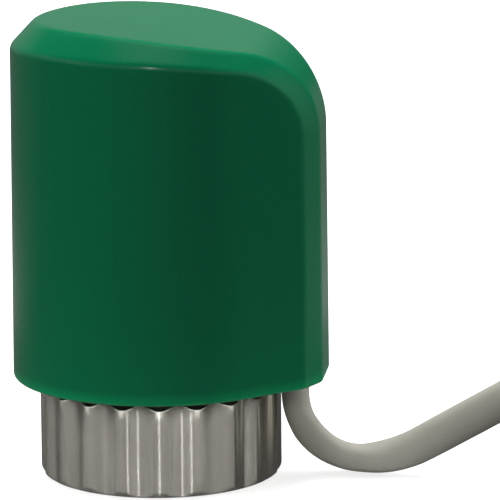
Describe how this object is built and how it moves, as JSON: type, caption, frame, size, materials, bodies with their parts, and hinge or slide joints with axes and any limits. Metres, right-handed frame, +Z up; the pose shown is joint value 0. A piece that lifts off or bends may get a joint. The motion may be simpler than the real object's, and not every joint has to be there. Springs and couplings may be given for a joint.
{
  "type": "motorized valve actuator",
  "caption": "Thermal actuator for a radiator or manifold valve: moulded hood, fluted union nut, wax motor, sprung plunger and flat cable.",
  "frame": {"origin": "centre of the seating collar's lower face, which rests on the valve neck", "axes": "+Z up the valve stem, away from the valve; +X towards the flat side of the hood, where the cable leaves; +Y completes the right-handed frame"},
  "size_m": [0.0957, 0.042, 0.0664],
  "materials": {
    "hood_green": "satin",
    "base_black": "satin",
    "gasket_rubber": "matte",
    "nut_nickel": "satin plated",
    "collar_brass": "turned",
    "spring_steel": "oiled",
    "zinc_steel": "zinc plated",
    "acetal_white": "satin",
    "ceramic_ivory": "matte",
    "contact_brass": "bright",
    "ptc_ceramic": "matte",
    "motor_brass": "turned",
    "wax": "waxy",
    "boot_rubber": "matte",
    "board_green": "solder mask",
    "block_grey": "satin",
    "varistor_blue": "dipped",
    "lead_red": "silicone",
    "lead_black": "silicone",
    "cable_grey": "soft PVC",
    "core_brown": "PVC",
    "core_blue": "PVC",
    "tin": "tinned"
  },
  "bodies": {
    "housing": {"housing_cover": "hood_green", "cover_gasket": "gasket_rubber", "base_plate": "base_black", "seating_collar": "collar_brass", "retaining_ring": "spring_steel", "guide_bush": "acetal_white", "stem_seal": "gasket_rubber", "bridge_posts": "zinc_steel", "bridge_plate": "zinc_steel", "bridge_screws": "zinc_steel", "main_spring": "spring_steel", "spring_plate": "zinc_steel", "frame_pillars": "zinc_steel", "pillar_screws": "zinc_steel", "heater_seat": "ceramic_ivory", "lower_contact": "contact_brass", "ptc_disc": "ptc_ceramic", "upper_contact": "contact_brass", "wax_motor_cup": "motor_brass", "wax_charge": "wax", "rubber_boot": "boot_rubber", "piston_guide": "motor_brass", "terminal_board": "board_green", "terminal_block": "block_grey", "terminal_screws": "zinc_steel", "varistor": "varistor_blue", "heater_lead_a": "lead_red", "heater_lead_b": "lead_black", "cable_clamp": "base_black", "clamp_screws": "zinc_steel", "cable_grommet": "gasket_rubber", "cable_jacket": "cable_grey", "core_brown": "core_brown", "core_blue": "core_blue", "end_sleeves": "tin"},
    "nut": {"union_nut": "nut_nickel"},
    "carriage": {"plunger": "acetal_white", "plunger_clip": "spring_steel", "carriage": "acetal_white", "crosshead": "zinc_steel", "crosshead_screws": "zinc_steel"},
    "piston": {"wax_motor_piston": "zinc_steel"}
  },
  "joints": [
    {"name": "nut_spin", "type": "hinge", "parent": "housing", "child": "nut", "pos_m": [0, 0, 0], "axis": [0, 0, 1], "continuous": true},
    {"name": "carriage_lift", "type": "slide", "parent": "housing", "child": "carriage", "axis": [0, 0, 1], "range_m": [0, 0.004], "deforming": ["main_spring"]},
    {"name": "piston_stroke", "type": "slide", "parent": "housing", "child": "piston", "axis": [0, 0, 1], "range_m": [0, 0.004]}
  ],
  "couplings": [
    {"joint": "piston_stroke", "follows": "carriage_lift", "ratio": 1}
  ]
}
